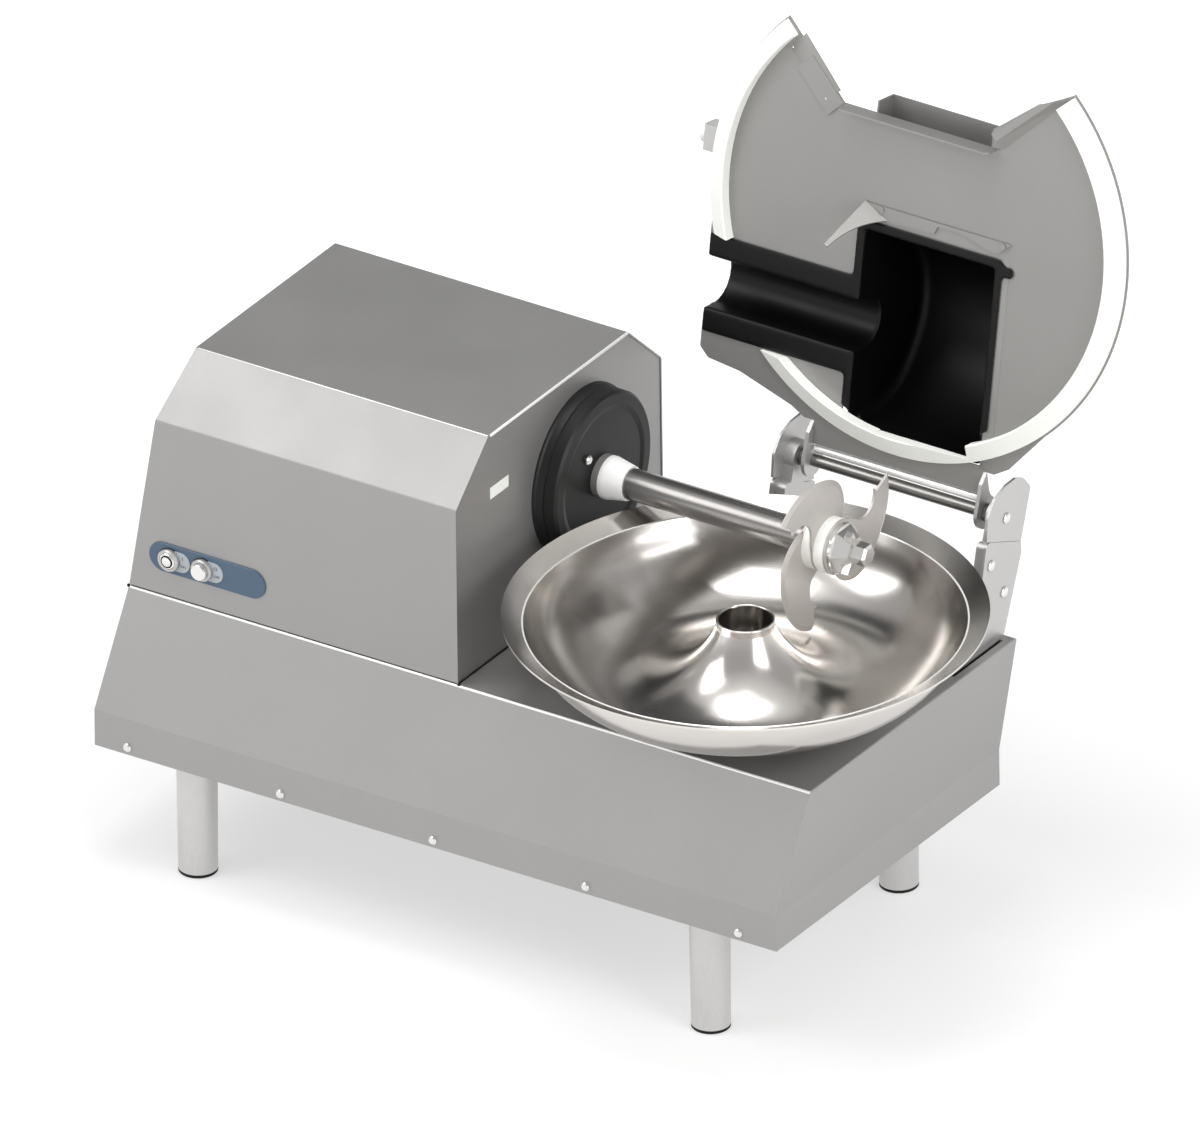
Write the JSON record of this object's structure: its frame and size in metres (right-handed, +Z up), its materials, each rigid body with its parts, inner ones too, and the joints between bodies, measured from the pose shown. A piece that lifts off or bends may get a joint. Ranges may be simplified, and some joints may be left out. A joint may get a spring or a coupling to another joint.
{
  "type": "meat bowl cutter",
  "caption": "Table-top bowl cutter: sheet-steel base on legs with a drive housing, turning bowl, sickle knives on a side shaft and a lid hinged at the back.",
  "frame": {"origin": "middle of the front left foot's resting face on the table", "axes": "+X along the front from the drive end to the bowl end, +Y to the back, +Z up"},
  "size_m": [1.0103, 0.7218, 0.9746],
  "materials": {
    "cabinet_steel": "satin, fine grain",
    "housing_steel": "satin, fine grain",
    "polished_steel": "polished",
    "lid_steel": "satin",
    "blade_steel": "ground",
    "screw_steel": "bright",
    "black_plastic": "satin",
    "white_plastic": "smooth",
    "blue_plate": "satin",
    "label_grey": "smooth",
    "black_rubber": "matt",
    "zinc_steel": "zinc plated",
    "motor_paint": "satin paint",
    "cast": "machined"
  },
  "bodies": {
    "base": {"base_cabinet": "cabinet_steel", "bottom_pan": "cabinet_steel", "bowl_bearing_housing": "cast", "bowl_bearings": "zinc_steel", "bowl_belt": "black_rubber", "bowl_flange_bolts": "zinc_steel", "bowl_gearmotor": "motor_paint", "button_bezels": "polished_steel", "button_tabs": "label_grey", "control_box": "black_plastic", "control_plate": "blue_plate", "drive_belt": "black_rubber", "drum_cover": "black_plastic", "drum_cover_screws": "screw_steel", "hinge_caps": "cabinet_steel", "hinge_plates": "cabinet_steel", "hinge_posts": "cabinet_steel", "hinge_rod": "polished_steel", "hinge_screws": "screw_steel", "hinge_sleeves": "polished_steel", "housing_end_left": "housing_steel", "housing_end_right": "housing_steel", "housing_wrap": "housing_steel", "knife_motor": "motor_paint", "leg_bolts": "zinc_steel", "legs": "cabinet_steel", "lid_switch_guide": "white_plastic", "rubber_feet": "black_rubber", "shaft_bearing_tube": "cast", "shaft_bearings": "zinc_steel", "shaft_cradle": "zinc_steel", "shaft_seal": "white_plastic", "skirt_screws": "screw_steel", "switch_blocks": "black_plastic"},
    "knife_shaft": {"knife_shaft": "polished_steel", "knife_pulley": "cast", "knife_1": "blade_steel", "knife_2": "blade_steel", "knife_3": "blade_steel", "knife_spacers": "white_plastic", "knife_nut": "polished_steel"},
    "motor_rotor": {"motor_shaft": "cast", "motor_pulley": "cast"},
    "bowl": {"bowl": "polished_steel", "bowl_spindle": "cast", "bowl_nut": "screw_steel", "bowl_pulley": "cast"},
    "bowl_drive": {"gearmotor_pulley": "cast"},
    "lid": {"lid_plate": "lid_steel", "lid_seal": "white_plastic", "knife_hood": "black_plastic", "deflector": "lid_steel", "deflector_screws": "screw_steel", "lid_grip": "lid_steel", "catch_bracket": "lid_steel", "catch_disc": "white_plastic", "lid_ears": "lid_steel"},
    "on_button": {"on_button": "polished_steel"},
    "off_button": {"off_button": "polished_steel"}
  },
  "joints": [
    {"name": "knife_spin", "type": "hinge", "parent": "base", "child": "knife_shaft", "pos_m": [0.3379, 0.246, 0.4752], "axis": [1, 0, 0], "continuous": true},
    {"name": "motor_spin", "type": "hinge", "parent": "base", "child": "motor_rotor", "pos_m": [0.0699, 0.1333, 0.2315], "axis": [1, 0, 0], "continuous": true},
    {"name": "bowl_spin", "type": "hinge", "parent": "base", "child": "bowl", "pos_m": [0.6359, 0.111, 0.4498], "axis": [0, 0, 1], "continuous": true},
    {"name": "bowl_drive_spin", "type": "hinge", "parent": "base", "child": "bowl_drive", "pos_m": [0.4459, 0.121, 0.2], "axis": [0, 0, 1], "continuous": true},
    {"name": "lid_swing", "type": "hinge", "parent": "base", "child": "lid", "pos_m": [0.6359, 0.4127, 0.4633], "axis": [1, 0, 0], "range_deg": [0, 100.5]},
    {"name": "on_press", "type": "slide", "parent": "base", "child": "on_button", "axis": [0, 1, 0], "range_m": [0, 0.003], "stiffness_N_per_m": 800},
    {"name": "off_press", "type": "slide", "parent": "base", "child": "off_button", "axis": [0, 1, 0], "range_m": [0, 0.004], "stiffness_N_per_m": 800}
  ],
  "couplings": [
    {"joint": "motor_spin", "follows": "knife_spin", "ratio": 1.2247},
    {"joint": "bowl_drive_spin", "follows": "bowl_spin", "ratio": 2.234}
  ]
}
